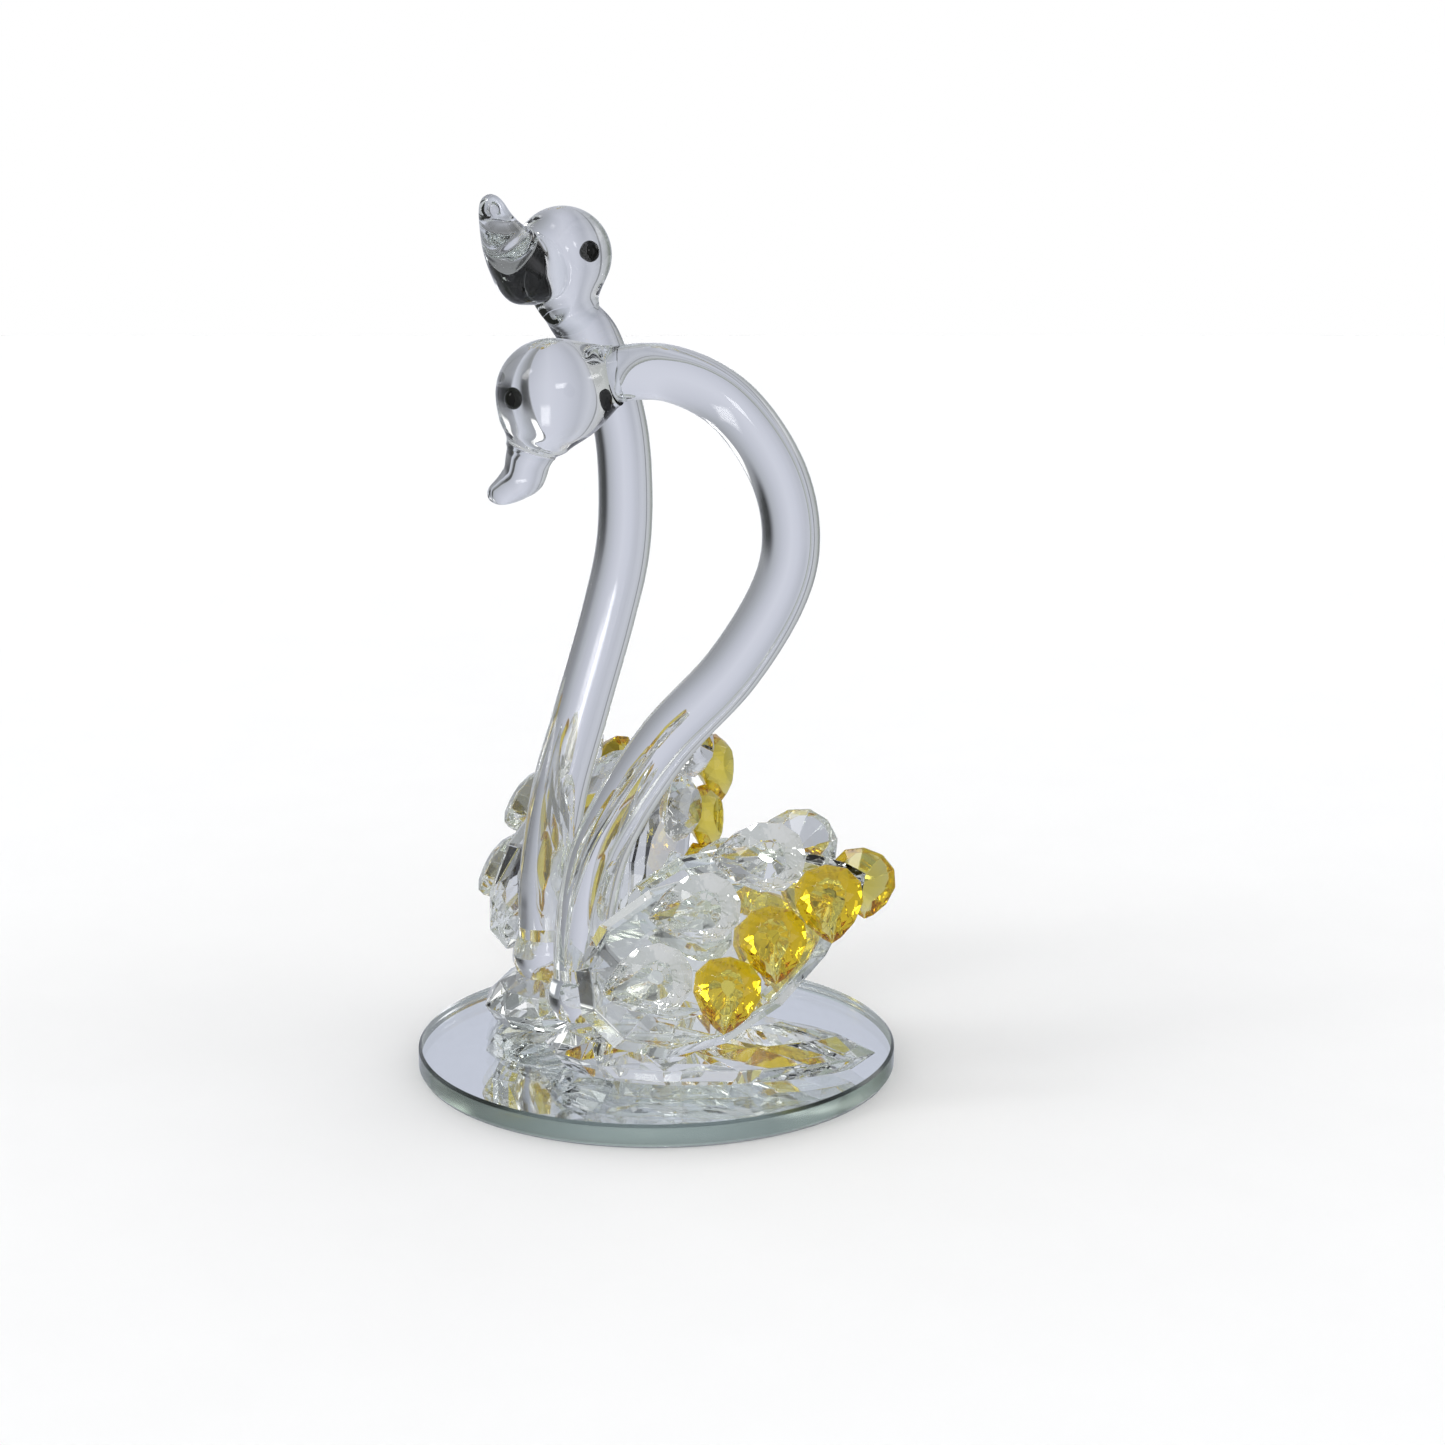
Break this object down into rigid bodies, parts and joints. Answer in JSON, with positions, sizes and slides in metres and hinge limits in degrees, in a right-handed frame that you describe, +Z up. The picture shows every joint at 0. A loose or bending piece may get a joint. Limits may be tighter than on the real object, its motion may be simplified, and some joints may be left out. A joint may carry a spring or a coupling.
{
  "type": "glass_figurine",
  "caption": "Clear lampworked glass swans with bent necks and cut crystal wings of clear and yellow stones, standing on a round mirror base",
  "frame": {"origin": "centre of the mirror base's underside, where the object stands", "axes": "+X towards the tails of the swans and to the right in the front view, +Y away from the front view, +Z up"},
  "size_m": [0.1, 0.1265, 0.1824],
  "materials": {
    "float_glass": "polished",
    "silvering": "polished",
    "backing_paint": "matte",
    "cut_crystal": "polished",
    "clear_glass": "polished",
    "yellow_crystal": "polished",
    "black_glass": "polished"
  },
  "bodies": {
    "root": {"mirror_glass": "float_glass", "mirror_silver": "silvering", "mirror_backing": "backing_paint", "front_base_leaf": "cut_crystal", "front_collar": "clear_glass", "front_neck": "clear_glass", "front_head": "clear_glass", "front_beak": "clear_glass", "front_left_eye": "black_glass", "front_left_wing_leaf": "cut_crystal", "front_left_clear_stone_1": "cut_crystal", "front_left_yellow_stone_1": "yellow_crystal", "front_left_clear_stone_2": "cut_crystal", "front_left_yellow_stone_2": "yellow_crystal", "front_left_clear_stone_3": "cut_crystal", "front_left_yellow_stone_3": "yellow_crystal", "front_right_eye": "black_glass", "front_right_wing_leaf": "cut_crystal", "front_right_clear_stone_1": "cut_crystal", "front_right_yellow_stone_1": "yellow_crystal", "front_right_clear_stone_2": "cut_crystal", "front_right_yellow_stone_2": "yellow_crystal", "front_right_clear_stone_3": "cut_crystal", "front_right_yellow_stone_3": "yellow_crystal", "back_base_leaf": "cut_crystal", "back_collar": "clear_glass", "back_neck": "clear_glass", "back_head": "clear_glass", "back_beak": "clear_glass", "back_left_eye": "black_glass", "back_left_wing_leaf": "cut_crystal", "back_left_clear_stone_1": "cut_crystal", "back_left_yellow_stone_1": "yellow_crystal", "back_left_clear_stone_2": "cut_crystal", "back_left_yellow_stone_2": "yellow_crystal", "back_left_clear_stone_3": "cut_crystal", "back_left_yellow_stone_3": "yellow_crystal", "back_right_eye": "black_glass", "back_right_wing_leaf": "cut_crystal", "back_right_clear_stone_1": "cut_crystal", "back_right_yellow_stone_1": "yellow_crystal", "back_right_clear_stone_2": "cut_crystal", "back_right_yellow_stone_2": "yellow_crystal", "back_right_clear_stone_3": "cut_crystal", "back_right_yellow_stone_3": "yellow_crystal"}
  },
  "joints": []
}
